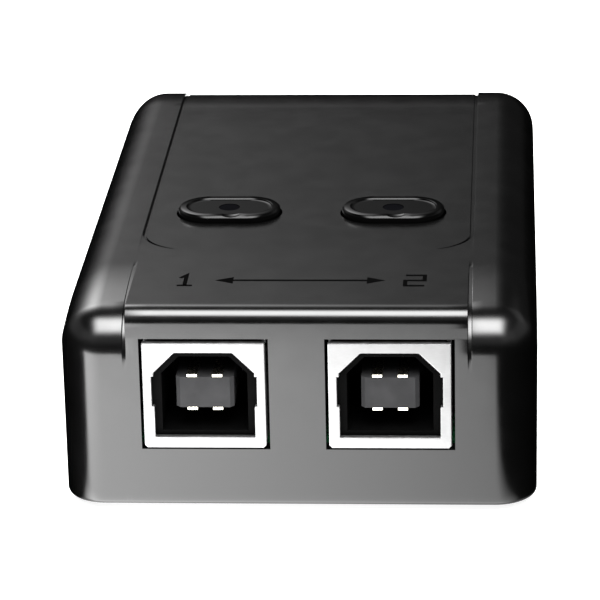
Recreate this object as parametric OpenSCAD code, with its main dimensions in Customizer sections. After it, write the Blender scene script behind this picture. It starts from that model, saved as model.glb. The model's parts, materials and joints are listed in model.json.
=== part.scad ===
// Two-computer USB sharing switch: a moulded case with two press buttons on top,
// two USB type B sockets at the front and one USB type A socket at the back.
// Millimetres. +Z is up, -Y is the front with the two type B sockets, and the
// origin is the middle of the footprint on the surface that the feet stand on.

/* [Case] */
// Outside width of the case
case_w = 47; // [46:0.5:50]
// Outside depth of the case, front face to back face
case_d = 76; // [72:0.5:78]
// Height of the case from its bottom rim to its top face
case_h = 20.8; // [20.4:0.1:22]
// Thickness of the moulded walls
wall = 1.8; // [1.6:0.1:2]
// Radius of the upright corners, seen from above
corner_r = 4.2; // [3.8:0.1:5]
// Radius of the top edges
edge_r = 4.2; // [3.8:0.1:4.4]
// Radius of the gentle slope that leads down to the front edge of the side rails
front_slope_r = 61; // [50:1:70]
// Tilt of that slope where it reaches the front edge, in degrees
front_tilt = 9; // [6:0.5:9]
// Radius of the slope that leads down to the back edge
rear_slope_r = 28; // [26:1:40]
// Tilt of that slope where it reaches the back edge, in degrees
rear_tilt = 13; // [10:0.5:14]
// Radius of the tight front edge of the middle panel
lip_r = 1.5; // [1:0.1:2]
// Width of the middle panel that runs out over the front
lip_w = 33.4; // [32:0.2:34]

/* [Feet] */
// How far the feet lift the case off the table
foot_h = 0.8; // [0.6:0.1:1.2]
// Radius of a foot
foot_r = 3.5; // [3:0.1:3.8]

/* [Buttons] */
// Distance of each button from the middle
button_x = 8.6; // [8.2:0.1:9.2]
// Distance of the buttons behind the front face
button_from_front = 28.6; // [26:0.2:32]
// Length of a button cap
cap_l = 10.7; // [10:0.1:11]
// Width of a button cap
cap_w = 6.6; // [6.5:0.1:7.2]
// How far a cap stands above the case
cap_proud = 0.7; // [0.5:0.1:1.2]
// Travel of a button
button_travel = 0.3; // [0.2:0.05:0.3]

/* [Sockets] */
// Distance of each type B socket from the middle
usb_b_x = 9.1; // [8.6:0.1:9.4]
// How far the socket shells stand out of the case faces
socket_proud = 0.4; // [0.2:0.1:0.6]

/* [Hidden] */
$fn = 48;
slip = 0.05; // gap between parts that are fitted together
sides = [-1, 1];
side_names = ["left", "right"];

// Heights
rim_z = foot_h;
top_z = rim_z + case_h;
ceiling_z = top_z - wall;
plate_t = 1.8;
plate_top_z = rim_z + plate_t;
board_t = 1.6;
board_z = 7.2; // top of the board
board_under_z = board_z - board_t;
solder_z = board_under_z - 1.5; // tips of the soldered leads
boss_foot_z = 4.5;

// Depths
front_y = -case_d / 2;
back_y = case_d / 2;
inner_back_y = back_y - wall;
button_y = front_y + button_from_front;

// Case details
rim_r = 0.5;
rebate = 1; // width of the case's bottom rim outside the bottom cover
plate_gap = 0.15;
lip_groove_w = 0.35;
lip_groove_r = 5;
recess_w = 34.1;
recess_corner_r = 5;
recess_front_y = front_y + 17.2;
recess_depth = 0.28; // at the back; it runs out to nothing at the front
groove_w = 0.32;
groove_depth = 0.42;
window_gap = 0.33;
slot_gap = 0.2;
slot_rim = 0.3;
collar_h = 2;
collar_t = 1.1;
rib_t = 1.2;
rib_reach = 2.1;
rib_ys = [-9, 9, 28];
sink = 0.6; // how far ribs and bosses run into the wall that carries them
plate_rib_h = 1.2;
plate_rib_t = 1;
plate_rib_l = [28, 40]; // across and along the case
plate_rib_at = [12, 10];
label_size = [26, 16];
label_t = 0.13;
label_pocket = 0.25;
label_gap = 0.2;
label_r = 1;

// Screws
screw_x = 18.2;
screw_y = 20;
boss_r = 2.4;
screw_r = 1.15;
screw_hole_r = 1.2;
screw_len = 8.5;
head_r = 2.1;
head_h = 1.3;
head_seat_z = 3.2;
cup_r = 3.2;
head_hole_r = 2.35;
shank_hole_r = 1.35;
core_r = 1; // the screw's shank between its threads
tip_r = 0.25;
tip_h = 1.2;
thread_pitch = 0.75;
thread_h = 0.4;
threads = 9;
slot_size = [2.4, 0.5, 0.9];

// Feet
foot_x = 16.5;
foot_y = 30;
foot_pocket = 0.6;
foot_gap = 0.1;
foot_bevel = 0.25;

// Board supports: [x, y]
post_at = [[0, -29.5], [-18.6, 0], [18.6, 0], [-18.6, 31.5], [18.6, 31.5]];
post_r = 1.9;
peg_r = 0.95;
peg_h = 1; // above the board
peg_hole_r = 1.1;
board_w = 42.4;
board_front_y = front_y + wall + 0.5;
board_back_y = back_y - 1.9;
board_corner_r = 2.2;
board_notch_r = 2.75;
pin_hole_r = 0.46;
tab_hole_r = 1.15;
small_tab_hole_r = 0.9;

// Type B socket, along its own depth from the front of its shell
b_w = 12.04;
b_h = 11;
b_d = 16.2;
b_front_y = front_y - socket_proud;
b_sheet = 0.4;
b_face_w = 9.9; // opening in the shell's front
b_face_h = 8.9;
b_face_bevel = 2.1;
b_face_rise = 0.08; // how far the opening's middle lies above the shell's middle
b_foot_bevel = 0.28; // bottom corners of the front
b_relief = [0.5, 3.1]; // notches beside the opening for the springs
b_spring_window = [5, 3.2];
b_spring = [5.6, 2.2];
b_mouth_w = 8.45; // opening in the plastic, which fits the plug
b_mouth_h = 7.78;
b_mouth_bevel = 1.75;
b_mouth_z = board_z + b_h / 2;
b_face_t = 0.65;
b_pocket = 10.2;
b_tongue_w = 5.7;
b_tongue_h = 3.2;
b_tongue_from_front = 1;
b_tongue_bevel = 0.4;
b_pin_x = 1.25;
b_pin_w = 1;
b_pin_t = 0.28;
b_tail_y = [13, 15]; // lower and upper contact tails, behind the socket's front
b_tab_y = 8.8;
tail_w = 0.6;
tail_t = 0.3;

// Type A socket
a_w = 13.1;
a_h = 5.72;
a_d = 14;
a_sheet = 0.3;
a_back_y = back_y + socket_proud;
a_flange_w = 14.5;
a_flange_h = 7.1;
a_flange_t = 0.5;
a_mid_z = board_z + a_h / 2;
a_tongue_w = 11.1;
a_tongue_h = 1.84;
a_tongue_z = board_z + 2.9;
a_tongue_from_mouth = 0.9;
a_pin_xs = [-3.5, -1, 1, 3.5];
a_tail_y = a_back_y - 12.4;
a_tab_y = a_back_y - 9.7;
a_tab_x = 6.4;
tab_w = 0.9;
notch_w = 15.1;
notch_top_z = a_mid_z + a_flange_h / 2 + 0.3;
notch_foot_z = a_mid_z - a_flange_h / 2 - 0.3;

// Buttons and their tact switches
cap_top_z = top_z + cap_proud;
cap_bevel = 0.3;
dish_in = 1.1; // from the cap's side to the foot of the dish's slope
dish_side = 0.45; // width of that slope
dish_depth = 0.14;
cap_wall = 1.2;
cap_roof = 1.4;
cap_flange = 1;
cap_flange_t = 0.9;
cap_flange_top_z = ceiling_z - collar_h - slip;
cap_foot_z = cap_flange_top_z - cap_flange_t;
window_r = 1.1;
window_collar_r = 1.7;
window_collar_h = 0.8;
window_clear = 0.02;
tact_dx = 4.9; // outward from the middle of the button
tact_size = [3.5, 6, 3.5];
tact_floor_h = 2.05;
tact_well_r = 1.45;
tact_lid_t = 0.2;
tact_post_at = [1.2, 2.4];
tact_post_r = 0.3;
tact_post_h = 0.35;
tact_post_hole_r = 0.34;
plunger_r = 0.95;
plunger_foot_r = 1.35;
plunger_foot_h = 0.8;
plunger_hole_r = 1.03;
dome_t = 0.1;
dome_rise = button_travel + 0.15;
tact_pin_y = 2.25;

// Indicator lamps
lamp_r = 1.5;
lamp_rim_r = 1.9;
lamp_rim_h = 0.9;
lamp_foot_z = 14.4;
lamp_straight = 3.7;
lead_pitch = 2.54;
lead_w = 0.5;
spacer_r = 2.2;

// Board parts
dimple_in = 0.9;
dimple_r = 0.4;
dimple_depth = 0.1;
crystal_lead_x = 2.44;
crystal_lead_r = 0.21;
main_chip = [5.3, 10.2, 1.75];
main_chip_at = [0, 6];
small_chip = [3.9, 9.9, 1.5];
small_chip_at = [-12.5, 10];
crystal_at = [11.5, 5];
crystal_l = 11;
crystal_w = 4.6;
crystal_h = 3.5;
cap_can_r = 2.5;
cap_can_h = 7;
cap_cans_at = [[12.6, 16.5], [-12.6, 22.5]];
resistors_at = [[-4.6, -14], [-2.3, -14], [2.3, -14], [4.6, -14], [5.6, 15.5], [5.6, 17.5],
                [-6.4, -3], [6.4, -3], [-5.4, 17.5], [-2.4, 17.5]];
chip_caps_at = [[0, -14], [-5.4, -1], [5.4, 0.5], [9.5, 11], [13.5, 11], [0.5, 17.5], [2.9, 17.5], [0, 14]];

// ---- shared shapes ----

// Turns a 2D (y, z) outline into a bar along X
module along_x(length) { rotate([90, 0, 90]) linear_extrude(length, center = true) children(); }

// Turns a 2D (x, z) outline into a bar along Y
module along_y(length) { rotate([90, 0, 0]) linear_extrude(length, center = true) children(); }

// A box whose x and y are centred and whose z starts at 0
module block(size) { translate([-size[0] / 2, -size[1] / 2, 0]) cube(size); }

// What a round edge of radius r takes off the square corner at the origin that points to (sx, sy)
module corner_cut(sx, sy, r) {
    difference() {
        translate([sx > 0 ? -r : -1, sy > 0 ? -r : -1]) square(r + 1);
        translate([-sx * r, -sy * r]) circle(r);
    }
}

module round_rect(w, d, r) {
    square([w - 2 * r, d], center = true);
    square([w, d - 2 * r], center = true);
    for (sx = sides, sy = sides) translate([sx * (w / 2 - r), sy * (d / 2 - r)]) circle(r);
}

// A block standing on z = 0, whose long axis is X, with half-round ends
module pill(l, w, h) {
    block([l - w, w, h]);
    for (s = sides) translate([s * (l - w) / 2, 0, 0]) cylinder(h = h, r = w / 2);
}

// A pill whose outline changes by grow on every side over its height
module pill_taper(l, w, h, grow) {
    along_x(l - w) polygon([[-w / 2, 0], [w / 2, 0], [w / 2 + grow, h], [-w / 2 - grow, h]]);
    for (s = sides) translate([s * (l - w) / 2, 0, 0]) cylinder(h = h, r1 = w / 2, r2 = w / 2 + grow);
}

// A rectangle with its two top corners bevelled, centred on the origin
module d_outline(w, h, bevel) {
    polygon([[-w / 2, -h / 2], [w / 2, -h / 2], [w / 2, h / 2 - bevel],
             [w / 2 - bevel, h / 2], [-w / 2 + bevel, h / 2], [-w / 2, h / 2 - bevel]]);
}

// ---- case ----

// What a sloping edge takes off the square front top corner at the origin: a gentle slope of radius
// long_r that starts on the top and turns into a round edge of radius r where it reaches the tilt
module slope_cut(r, long_r, tilt) {
    run = r + (long_r - r) * sin(tilt);
    drop = long_r - (long_r - r) * cos(tilt);
    past = r + 1;
    difference() {
        translate([-1, -drop]) square([run + 1, drop + 1]);
        intersection() {
            translate([run, -long_r]) circle(long_r);
            union() {
                translate([r, -drop]) circle(r);
                // all that lies behind the line where the two curves meet
                polygon([[r, -drop - 1], [r, -drop],
                         [r - past * sin(tilt), -drop + past * cos(tilt)],
                         [run + 1, -drop + past * cos(tilt)], [run + 1, -drop - 1]]);
            }
        }
    }
}

// A (y, z) outline whose front top corner is still square; inset makes it smaller all round
module side_outline(h, inset, foot_rr) {
    d = case_d - 2 * inset;
    difference() {
        translate([-d / 2, 0]) square([d, h]);
        translate([d / 2, h]) mirror([1, 0]) slope_cut(edge_r - inset, rear_slope_r - inset, rear_tilt);
        if (foot_rr > 0) for (s = sides) translate([s * d / 2, 0]) corner_cut(s, -1, foot_rr);
    }
}

module front_outline(w, h, top_r, foot_rr) {
    difference() {
        translate([-w / 2, 0]) square([w, h]);
        for (s = sides) translate([s * w / 2, h]) corner_cut(s, 1, top_r);
        if (foot_rr > 0) for (s = sides) translate([s * w / 2, 0]) corner_cut(s, -1, foot_rr);
    }
}

// The case's outside as one solid block
module case_block() {
    translate([0, 0, rim_z]) intersection() {
        linear_extrude(case_h) round_rect(case_w, case_d, corner_r);
        along_y(case_d + 2) front_outline(case_w, case_h, edge_r, rim_r);
        union() {
            along_x(case_w + 2) difference() {
                side_outline(case_h, 0, rim_r);
                translate([front_y, case_h]) slope_cut(edge_r, front_slope_r, front_tilt);
            }
            along_x(lip_w) difference() {
                side_outline(case_h, 0, rim_r);
                translate([front_y, case_h]) corner_cut(-1, 1, lip_r);
            }
        }
    }
}

// The hollow inside the case
module case_hollow() {
    w = case_w - 2 * wall;
    d = case_d - 2 * wall;
    h = ceiling_z - rim_z;
    translate([0, 0, rim_z]) intersection() {
        translate([0, 0, -1]) linear_extrude(h + 1) round_rect(w, d, corner_r - wall);
        translate([0, 0, -1]) along_y(d + 2) front_outline(w, h + 1, edge_r - wall, 0);
        translate([0, 0, -1]) along_x(w + 2) difference() {
            side_outline(h + 1, wall, 0);
            translate([-d / 2, h + 1]) slope_cut(edge_r - wall, front_slope_r - wall, front_tilt);
        }
    }
}

// The step inside the bottom rim that the bottom cover sits in
module rebate_cut() {
    translate([0, 0, rim_z - 1])
        linear_extrude(plate_t + 1 + slip)
            round_rect(case_w - 2 * rebate, case_d - 2 * rebate, corner_r - rebate);
}

// The shallow recess in the top, which runs out to nothing at its front, with a groove down each side
module top_recess() {
    slope = recess_depth / (back_y - recess_front_y);
    along_x(recess_w)
        polygon([[recess_front_y, top_z], [back_y + 1, top_z - recess_depth - slope],
                 [back_y + 1, top_z + 1], [recess_front_y, top_z + 1]]);
    for (s = sides)
        translate([s * recess_w / 2 - groove_w / 2, recess_front_y + recess_corner_r, top_z - groove_depth])
            cube([groove_w, case_d, 1]);
}

// Fine shadow lines where the middle panel's front edge leaves the rounder rails
module lip_grooves() {
    for (s = sides)
        translate([s * (lip_w + lip_groove_w) / 2, front_y, top_z])
            along_x(lip_groove_w) slope_cut(lip_groove_r, front_slope_r, front_tilt);
}

module button_slots() {
    for (s = sides) translate([s * button_x, button_y, 0]) {
        translate([0, 0, ceiling_z - collar_h - 1])
            pill(cap_l + 2 * slot_gap, cap_w + 2 * slot_gap, wall + collar_h + 2);
        translate([0, 0, top_z - slot_rim - 0.1])
            pill_taper(cap_l + 2 * slot_gap, cap_w + 2 * slot_gap, slot_rim + 0.2, slot_rim + 0.2);
    }
}

module socket_windows() {
    for (s = sides)
        translate([s * usb_b_x, front_y + wall / 2, b_mouth_z])
            cube([b_w + 2 * window_gap, wall + 2, b_h + 2 * window_gap], center = true);
    translate([-notch_w / 2, inner_back_y - 1, 0]) cube([notch_w, wall + 3, notch_top_z]);
}

module top_cover() color("#2b2b2d") {
    difference() {
        union() {
            difference() {
                case_block();
                case_hollow();
                rebate_cut();
            }
            // guide collars under the button slots
            for (s = sides) translate([s * button_x, button_y, ceiling_z - collar_h])
                pill(cap_l + 2 * (slot_gap + collar_t), cap_w + 2 * (slot_gap + collar_t),
                     collar_h + wall / 2);
            // screw bosses, each with a web to the wall
            for (sx = sides, sy = sides) translate([sx * screw_x, sy * screw_y, boss_foot_z]) {
                cylinder(h = ceiling_z - boss_foot_z + sink, r = boss_r);
                translate([sx * 2, 0, board_z + slip - boss_foot_z])
                    block([4, rib_t, ceiling_z - board_z - slip]);
            }
            // ribs that hold the board down
            for (s = sides, y = rib_ys)
                translate([s * (case_w / 2 - wall - rib_reach / 2 + sink / 2), y, board_z + slip])
                    block([rib_reach + sink, rib_t, ceiling_z - board_z - slip]);
        }
        button_slots();
        socket_windows();
        top_recess();
        lip_grooves();
        for (sx = sides, sy = sides)
            translate([sx * screw_x, sy * screw_y, boss_foot_z - 1])
                cylinder(h = screw_len + 1, r = screw_hole_r);
    }
}

module bottom_cover() color("#242426") {
    difference() {
        union() {
            translate([0, 0, rim_z])
                linear_extrude(plate_t)
                    round_rect(case_w - 2 * rebate - 2 * plate_gap, case_d - 2 * rebate - 2 * plate_gap,
                               corner_r - rebate - plate_gap);
            // the tab that closes the back wall under the type A socket
            translate([0, back_y - wall / 2, rim_z])
                block([notch_w - 2 * plate_gap, wall, notch_foot_z - rim_z]);
            for (sx = sides, sy = sides)
                translate([sx * screw_x, sy * screw_y, plate_top_z - sink])
                    cylinder(h = boss_foot_z - slip - plate_top_z + sink, r = cup_r);
            for (p = post_at) translate([p[0], p[1], plate_top_z - sink]) {
                cylinder(h = board_under_z - plate_top_z + sink, r = post_r);
                cylinder(h = board_z - plate_top_z + sink + peg_h, r = peg_r);
            }
            // stiffening ribs
            for (s = sides) {
                translate([0, s * plate_rib_at[0], plate_top_z - sink])
                    block([plate_rib_l[0], plate_rib_t, plate_rib_h + sink]);
                translate([s * plate_rib_at[1], 0, plate_top_z - sink])
                    block([plate_rib_t, plate_rib_l[1], plate_rib_h + sink]);
            }
        }
        for (sx = sides, sy = sides) translate([sx * screw_x, sy * screw_y, rim_z - 1]) {
            cylinder(h = head_seat_z - rim_z + 1, r = head_hole_r);
            cylinder(h = boss_foot_z - rim_z + 1, r = shank_hole_r);
        }
        for (sx = sides, sy = sides)
            translate([sx * foot_x, sy * foot_y, rim_z - 1])
                cylinder(h = 1 + foot_pocket, r = foot_r + foot_gap);
        translate([0, 0, rim_z - 1])
            linear_extrude(1 + label_pocket)
                offset(label_gap) round_rect(label_size[0], label_size[1], label_r);
    }
}

module base_label() color("#b8b8ba")
    translate([0, 0, rim_z + label_pocket - label_t - 0.02])
        linear_extrude(label_t) round_rect(label_size[0], label_size[1], label_r);

module foot() color("#1a1a1a") {
    cylinder(h = foot_bevel, r1 = foot_r - foot_bevel, r2 = foot_r);
    translate([0, 0, foot_bevel]) cylinder(h = foot_h + foot_pocket - foot_bevel - slip, r = foot_r);
}

module case_screw() color("#8f9296") {
    dome_h = head_h * 0.45;
    difference() {
        union() {
            translate([0, 0, head_seat_z - head_h]) cylinder(h = dome_h, r1 = head_r * 0.8, r2 = head_r);
            translate([0, 0, head_seat_z - head_h + dome_h]) cylinder(h = head_h - dome_h, r = head_r);
            translate([0, 0, head_seat_z]) cylinder(h = screw_len - tip_h, r = core_r);
            for (i = [1 : threads])
                translate([0, 0, head_seat_z + i * thread_pitch - thread_h / 2]) {
                    cylinder(h = thread_h / 2, r1 = core_r, r2 = screw_r);
                    translate([0, 0, thread_h / 2]) cylinder(h = thread_h / 2, r1 = screw_r, r2 = core_r);
                }
            translate([0, 0, head_seat_z + screw_len - tip_h]) cylinder(h = tip_h, r1 = core_r, r2 = tip_r);
        }
        for (a = [0, 90])
            rotate([0, 0, a]) translate([0, 0, head_seat_z - head_h - 0.1]) block(slot_size);
    }
}

module case_screws()
    for (sx = sides, sy = sides) translate([sx * screw_x, sy * screw_y, 0]) case_screw();

// ---- board ----

module lead_hole(r) { circle(r, $fn = 24); }

module main_board() color("#1f5a35") {
    translate([0, 0, board_under_z]) linear_extrude(board_t) difference() {
        translate([0, (board_front_y + board_back_y) / 2])
            round_rect(board_w, board_back_y - board_front_y, board_corner_r);
        for (sx = sides, sy = sides) translate([sx * screw_x, sy * screw_y]) {
            circle(board_notch_r);
            translate([sx * 5, 0]) square([10, 2 * board_notch_r], center = true);
        }
        for (p = post_at) translate(p) circle(peg_hole_r);
        for (s = sides) {
            for (px = sides, ty = b_tail_y)
                translate([s * usb_b_x + px * b_pin_x, b_front_y + ty]) lead_hole(pin_hole_r);
            for (px = sides)
                translate([s * usb_b_x + px * (b_w - b_sheet) / 2, b_front_y + b_tab_y])
                    lead_hole(tab_hole_r);
            for (py = sides) {
                translate([s * (button_x + tact_dx), button_y + py * tact_pin_y]) lead_hole(pin_hole_r);
                translate([s * button_x, button_y + py * lead_pitch / 2]) lead_hole(pin_hole_r);
            }
        }
        for (x = a_pin_xs) translate([x, a_tail_y]) lead_hole(pin_hole_r);
        for (s = sides) translate([s * a_tab_x, a_tab_y]) lead_hole(small_tab_hole_r);
        for (p = cap_cans_at, s = sides) translate([p[0] + s, p[1]]) lead_hole(0.42);
        for (s = sides) translate([crystal_at[0] + s * crystal_lead_x, crystal_at[1]]) lead_hole(0.4);
    }
}

// ---- type B socket, drawn from the front of its shell at y = 0, standing on the board ----

module usb_b_shell() color("#d9dadc") {
    mid = b_h / 2;
    difference() {
        translate([0, b_d / 2, 0]) block([b_w, b_d, b_h]);
        // the hollow for the plastic housing, open to the board
        translate([0, (b_d + b_face_t - b_sheet) / 2, -1])
            block([b_w - 2 * b_sheet, b_d - b_face_t - b_sheet, b_h - b_sheet + 1]);
        translate([0, 0, mid + b_face_rise])
            along_y(2 * b_face_t + 1) d_outline(b_face_w, b_face_h, b_face_bevel);
        // reliefs for the side springs
        translate([0, b_face_t / 2, mid + 0.45])
            cube([b_face_w + b_relief[0], b_face_t + 1, b_relief[1]], center = true);
        // bend reliefs behind the top corners and small bevels at the bottom corners
        for (s = sides) {
            translate([s * b_w / 2, b_face_t + 0.5, b_h]) cube(1, center = true);
            translate([s * b_w / 2, 0, 0])
                rotate([0, 45, 0]) cube([b_foot_bevel * sqrt(2), 3, b_foot_bevel * sqrt(2)], center = true);
        }
        // spring windows in the sides
        for (s = sides)
            translate([s * b_w / 2, 6.2, mid])
                cube([2, b_spring_window[0], b_spring_window[1]], center = true);
    }
    // side springs and board tabs
    for (s = sides) {
        translate([s * (b_w - b_sheet) / 2, 6, mid])
            cube([b_sheet, b_spring[0], b_spring[1]], center = true);
        translate([s * (b_w - b_sheet) / 2, b_tab_y, solder_z - board_z])
            block([b_sheet, 1.7, board_z - solder_z + 0.5]);
    }
}

// The four contacts; grow makes the same shape larger, for the slots that hold them
module usb_b_contacts_shape(grow) {
    mid = b_h / 2;
    for (px = sides, level = [0, 1]) {
        z = level == 1 ? mid + b_tongue_h / 2 : mid - b_tongue_h / 2 - b_pin_t;
        tail = b_tail_y[level];
        start = b_tongue_from_front;
        translate([px * b_pin_x, (start + tail + tail_t / 2) / 2, z - grow])
            block([b_pin_w + 2 * grow, tail + tail_t / 2 - start + 2 * grow, b_pin_t + 2 * grow]);
        translate([px * b_pin_x, tail, solder_z - board_z])
            block([tail_w + 2 * grow, tail_t + 2 * grow, z + board_z - solder_z + b_pin_t / 2]);
    }
}

module usb_b_contacts() color("#d8b04a") usb_b_contacts_shape(0);

// The type B tongue from above, from its bevelled front end at y = 0
module tongue_plan()
    polygon([[-b_tongue_w / 2 + b_tongue_bevel, 0], [b_tongue_w / 2 - b_tongue_bevel, 0],
             [b_tongue_w / 2, b_tongue_bevel], [b_tongue_w / 2, b_pocket + 1],
             [-b_tongue_w / 2, b_pocket + 1], [-b_tongue_w / 2, b_tongue_bevel]]);

module usb_b_housing() color("#18181a") {
    w = b_w - 2 * b_sheet - 2 * slip;
    h = b_h - b_sheet - slip;
    start = b_face_t + slip;
    depth = b_d - b_sheet - slip - start;
    difference() {
        translate([0, start + depth / 2, 0]) block([w, depth, h]);
        difference() {
            translate([0, start + b_pocket / 2 - 0.5, b_h / 2])
                along_y(b_pocket + 1) d_outline(b_mouth_w, b_mouth_h, b_mouth_bevel);
            translate([0, b_tongue_from_front, (b_h - b_tongue_h) / 2])
                linear_extrude(b_tongue_h) tongue_plan();
        }
        usb_b_contacts_shape(0.02);
        // room under the tails
        translate([0, 14, -1]) block([5, 3.4, 1.8]);
    }
}

// ---- type A socket, drawn in place at the back ----

module usb_a_shell() color("#d3d5d8") {
    difference() {
        union() {
            translate([0, a_back_y - a_d / 2, board_z]) block([a_w, a_d, a_h]);
            translate([0, a_back_y - a_flange_t / 2, a_mid_z - a_flange_h / 2])
                block([a_flange_w, a_flange_t, a_flange_h]);
        }
        translate([0, a_back_y - a_d / 2 + a_sheet / 2 + 0.5, board_z + a_sheet])
            block([a_w - 2 * a_sheet, a_d - a_sheet + 1, a_h - 2 * a_sheet]);
        // spring windows in the top
        for (s = sides)
            translate([s * 3.2, a_back_y - 6.4, board_z + a_h - a_sheet - 0.5]) block([2.4, 6, 1.5]);
        // the tails pass through the back of the floor
        translate([0, a_tail_y, board_z - 1]) block([8.6, 1.2, 2]);
        // open corners between the four flared lips
        for (sx = sides, sz = sides)
            translate([sx * a_flange_w / 2, a_back_y - a_flange_t / 2, a_mid_z + sz * a_flange_h / 2])
                cube([1.3, a_flange_t + 1, 1.3], center = true);
    }
    for (s = sides) {
        // leaf springs that press on the plug
        translate([s * 3.2, a_back_y - 9.5, board_z + a_h - a_sheet])
            rotate([-4.5, 0, 0]) translate([-0.9, 0, 0]) cube([1.8, 5.6, 0.2]);
        translate([s * a_tab_x, a_tab_y, solder_z]) block([a_sheet, tab_w, board_z - solder_z + 0.5]);
    }
}

module usb_a_contacts_shape(grow) {
    z = a_tongue_z - 0.25;
    front = a_back_y - a_tongue_from_mouth - 0.8;
    for (x = a_pin_xs) {
        translate([x, (front + a_tail_y) / 2, z - grow])
            block([1 + 2 * grow, front - a_tail_y + tail_t + 2 * grow, 0.25 + 2 * grow]);
        translate([x, a_tail_y, solder_z])
            block([tail_w + 2 * grow, tail_t + 2 * grow, z - solder_z + 0.1]);
    }
}

module usb_a_contacts() color("#d8b04a") usb_a_contacts_shape(0);

module usb_a_housing() color("#e9e9e6") {
    block_d = 4.6;
    start = a_back_y - a_d + a_sheet + slip;
    difference() {
        union() {
            translate([0, start + block_d / 2, board_z + a_sheet + slip])
                block([a_w - 2 * a_sheet - 2 * slip, block_d, a_h - 2 * a_sheet - 4 * slip]);
            translate([0, (start + a_back_y - a_tongue_from_mouth) / 2, a_tongue_z])
                block([a_tongue_w, a_back_y - a_tongue_from_mouth - start, a_tongue_h]);
        }
        usb_a_contacts_shape(0.02);
        // bevel along the tongue's leading edges
        translate([0, a_back_y - a_tongue_from_mouth, a_tongue_z + a_tongue_h])
            rotate([45, 0, 0]) cube([a_w, 0.5, 0.5], center = true);
    }
}

// ---- buttons, each drawn round its own middle on the board's plane z = 0 of the part ----

module button_cap() color("#101011") {
    difference() {
        union() {
            translate([0, 0, cap_foot_z]) pill(cap_l, cap_w, cap_top_z - cap_bevel - cap_foot_z);
            translate([0, 0, cap_top_z - cap_bevel]) pill_taper(cap_l, cap_w, cap_bevel, -cap_bevel);
            translate([0, 0, cap_foot_z])
                pill(cap_l + 2 * cap_flange, cap_w + 2 * cap_flange, cap_flange_t);
        }
        translate([0, 0, cap_foot_z - 1])
            pill(cap_l - 2 * cap_wall, cap_w - 2 * cap_wall, cap_top_z - cap_roof - cap_foot_z + 1);
        translate([0, 0, cap_foot_z]) cylinder(h = 10, r = window_r);
        // the shallow dish in the top
        translate([0, 0, cap_top_z - dish_depth])
            pill_taper(cap_l - 2 * dish_in, cap_w - 2 * dish_in, 2 * dish_depth, 2 * dish_side);
    }
}

module button_window() color("#05060a", 0.8) {
    roof_z = cap_top_z - cap_roof;
    translate([0, 0, roof_z - slip]) cylinder(h = cap_roof - dish_depth, r = window_r - window_clear);
    translate([0, 0, roof_z - slip - window_collar_h]) cylinder(h = window_collar_h, r = window_collar_r);
}

module tact_housing() color("#141416") {
    translate([0, 0, board_z]) difference() {
        block(tact_size);
        translate([0, 0, tact_floor_h]) cylinder(h = 3, r = tact_well_r);
    }
    for (sx = sides, sy = sides)
        translate([sx * tact_post_at[0], sy * tact_post_at[1], board_z + tact_size[2] - slip])
            cylinder(h = tact_post_h, r = tact_post_r);
}

module tact_lid() color("#c9cbcd") {
    translate([0, 0, board_z + tact_size[2]]) difference() {
        block([tact_size[0], tact_size[1], tact_lid_t]);
        translate([0, 0, -1]) cylinder(h = 2, r = plunger_hole_r);
        for (sx = sides, sy = sides)
            translate([sx * tact_post_at[0], sy * tact_post_at[1], -1])
                cylinder(h = 2, r = tact_post_hole_r);
    }
}

// The snap dome: a thin round shell that clicks flat under the plunger
module tact_dome() color("#c6b98c") {
    half_w = tact_well_r - 0.08;
    ball_r = (half_w * half_w + dome_rise * dome_rise) / (2 * dome_rise);
    translate([0, 0, board_z + tact_floor_h + 0.02]) rotate_extrude() intersection() {
        square([half_w, dome_rise + 1]);
        translate([0, dome_rise - ball_r]) difference() {
            circle(ball_r, $fn = 96);
            circle(ball_r - dome_t, $fn = 96);
        }
    }
}

module tact_plunger() color("#3a3a3c") {
    foot_top_z = board_z + tact_size[2] - slip;
    translate([0, 0, foot_top_z - plunger_foot_h]) cylinder(h = plunger_foot_h, r = plunger_foot_r);
    translate([0, 0, foot_top_z - 0.1]) cylinder(h = cap_foot_z - foot_top_z + 0.1, r = plunger_r);
}

module tact_pins() color("#cfd1d3")
    for (s = sides) translate([0, s * tact_pin_y, solder_z]) block([tail_w, tail_t, board_z - solder_z]);

module lamp() color("#dfe6ee", 0.55) translate([0, 0, lamp_foot_z]) {
    cylinder(h = lamp_rim_h, r = lamp_rim_r);
    cylinder(h = lamp_straight, r = lamp_r);
    translate([0, 0, lamp_straight]) rotate_extrude() intersection() {
        circle(lamp_r);
        square(lamp_r);
    }
}

module lamp_leads() color("#cfd1d3")
    for (s = sides)
        translate([0, s * lead_pitch / 2, solder_z]) block([lead_w, lead_w, lamp_foot_z - solder_z]);

module lamp_spacer() color("#1b1b1d") difference() {
    translate([0, 0, board_z]) cylinder(h = lamp_foot_z - board_z - slip, r = spacer_r);
    for (s = sides) translate([0, s * lead_pitch / 2, board_z - 1]) cylinder(h = 12, r = 0.42);
}

// ---- parts on the board ----

module chip_body(size) color("#1a1a1c") {
    stand = 0.15;
    difference() {
        translate([0, 0, board_z + stand]) block([size[0], size[1], size[2] - stand]);
        // pin 1 dimple
        translate([-size[0] / 2 + dimple_in, -size[1] / 2 + dimple_in, board_z + size[2] - dimple_depth])
            cylinder(h = 1, r = dimple_r);
    }
}

// Gull-wing leads down both long sides
module chip_leads(size, count, pitch, lead) color("#c9cbcd")
    for (s = sides, i = [0 : count - 1])
        translate([s * size[0] / 2, (i - (count - 1) / 2) * pitch, board_z]) {
            translate([s * 0.2, 0, size[2] / 2]) block([0.4, lead, 0.15]);
            translate([s * 0.4, 0, 0]) block([0.15, lead, size[2] / 2 + 0.15]);
            translate([s * 0.7, 0, 0]) block([0.6, lead, 0.15]);
        }

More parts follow.
